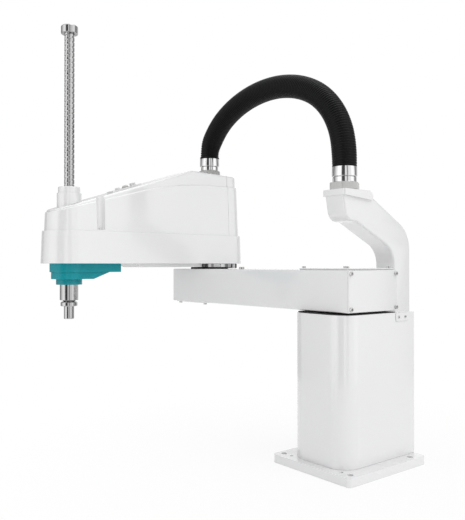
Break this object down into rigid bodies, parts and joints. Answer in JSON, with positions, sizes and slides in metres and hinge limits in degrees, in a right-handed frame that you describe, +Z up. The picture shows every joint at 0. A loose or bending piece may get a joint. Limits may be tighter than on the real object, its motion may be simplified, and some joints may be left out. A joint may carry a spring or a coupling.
{
  "type": "scara robot",
  "caption": "Pedestal SCARA robot with jointed horizontal arms, a ball screw tool shaft at the end and a ribbed cable hose that arches over the arms.",
  "frame": {"origin": "where the first joint's axis meets the underside of the base plate", "axes": "+Z up along the first joint's axis, +X to the robot's front, away from the cable duct; at rest the first arm points along -Y and the second along +X"},
  "size_m": [0.898, 0.8831, 1.326],
  "materials": {
    "painted_casting": "cast alloy with satin warm light grey paint",
    "white_cover": "satin, warm light grey",
    "teal_casting": "cast alloy with satin teal paint",
    "steel": "ground and polished",
    "cast_alloy": "machined",
    "blackened_steel": "blackened",
    "plated_steel": "nickel plated",
    "black_rubber": "matte black",
    "black_motor": "black anodised case round a steel core",
    "black_plastic": "matte black",
    "grey_plastic": "matte grey",
    "lamp_lens": "milky lens",
    "brass": "turned"
  },
  "bodies": {
    "base": {"base_plate": "painted_casting", "pedestal_column": "painted_casting", "rear_panel": "painted_casting", "power_connector": "black_plastic", "signal_connector": "cast_alloy", "air_fittings": "brass", "cable_duct": "painted_casting", "duct_collar": "painted_casting", "side_tab": "painted_casting", "base_screws": "plated_steel", "first_reducer": "steel", "first_motor": "black_motor", "pedestal_seal": "black_rubber", "base_hose_nut": "plated_steel", "base_hose_socket": "plated_steel"},
    "arm_1": {"arm_1_casting": "painted_casting", "arm_1_end_cover": "painted_casting", "arm_1_gasket": "black_rubber", "arm_1_top_cover": "painted_casting", "arm_1_belly_cover": "painted_casting", "arm_1_screws": "plated_steel", "arm_1_stud": "plated_steel", "first_flange": "blackened_steel", "second_reducer": "steel", "seal_ring": "black_rubber"},
    "arm_2": {"second_flange": "steel", "second_motor": "black_motor", "arm_2_housing": "painted_casting", "arm_2_cover": "white_cover", "arm_2_rear_cover": "white_cover", "shaft_tower": "painted_casting", "tower_cap": "white_cover", "arm_2_screws": "plated_steel", "spline_housing": "teal_casting", "arm_2_stop": "painted_casting", "stop_bumper": "black_rubber", "slope_panel": "white_cover", "status_lamp": "lamp_lens", "air_couplers": "grey_plastic", "shaft_bearings": "steel", "sleeve_motor": "black_motor", "lift_bridge": "cast_alloy", "lift_motor": "black_motor", "sleeve_belt": "black_rubber", "lift_belt": "black_rubber", "arm_hose_nut": "plated_steel", "arm_hose_socket": "plated_steel"},
    "spline_rotor": {"spline_sleeve": "steel", "sleeve_pulley": "cast_alloy"},
    "screw_nut": {"ball_nut": "steel", "nut_pulley": "cast_alloy"},
    "tool_shaft": {"screw_shaft": "steel", "top_collar": "steel", "bottom_collar": "steel"},
    "lift_drive": {"lift_motor_pulley": "cast_alloy"},
    "sleeve_drive": {"sleeve_motor_pulley": "cast_alloy"},
    "button": {"brake_button": "grey_plastic"},
    "hose": {"hose": "black_rubber", "base_hose_ferrule": "plated_steel", "arm_hose_ferrule": "plated_steel"}
  },
  "joints": [
    {"name": "first_axis", "type": "hinge", "parent": "base", "child": "arm_1", "pos_m": [0, 0, 0.44], "axis": [0, 0, 1], "range_deg": [-35, 215]},
    {"name": "second_axis", "type": "hinge", "parent": "arm_1", "child": "arm_2", "pos_m": [0, -0.65, 0.565], "axis": [0, 0, 1], "range_deg": [-230, 50]},
    {"name": "fourth_axis", "type": "hinge", "parent": "arm_2", "child": "spline_rotor", "pos_m": [0.55, -0.65, 0.5], "axis": [0, 0, 1], "range_deg": [-360, 360]},
    {"name": "third_axis", "type": "slide", "parent": "spline_rotor", "child": "tool_shaft", "axis": [0, 0, 1], "range_m": [-0.45, 0]},
    {"name": "nut_spin", "type": "hinge", "parent": "arm_2", "child": "screw_nut", "pos_m": [0.55, -0.65, 0.63], "axis": [0, 0, 1], "range_deg": [-5100, 30]},
    {"name": "lift_motor_spin", "type": "hinge", "parent": "arm_2", "child": "lift_drive", "pos_m": [0.32, -0.65, 0.63], "axis": [0, 0, 1], "range_deg": [-7800, 30]},
    {"name": "sleeve_motor_spin", "type": "hinge", "parent": "arm_2", "child": "sleeve_drive", "pos_m": [0.43, -0.65, 0.566], "axis": [0, 0, 1], "range_deg": [-690, 690]},
    {"name": "button_press", "type": "slide", "parent": "arm_2", "child": "button", "axis": [0.3065, 0, 0.9519], "range_m": [-0.003, 0], "stiffness_N_per_m": 400},
    {"name": "hose_turn", "type": "hinge", "parent": "base", "child": "hose", "pos_m": [0, 0, 0.83], "axis": [0, 0, 1], "range_deg": [-35, 215]}
  ],
  "couplings": [
    {"joint": "nut_spin", "follows": "third_axis", "rad_per_m": 196.35},
    {"joint": "lift_motor_spin", "follows": "third_axis", "rad_per_m": 301.07},
    {"joint": "sleeve_motor_spin", "follows": "fourth_axis", "ratio": 1.9091},
    {"joint": "hose_turn", "follows": "first_axis", "ratio": 1}
  ]
}
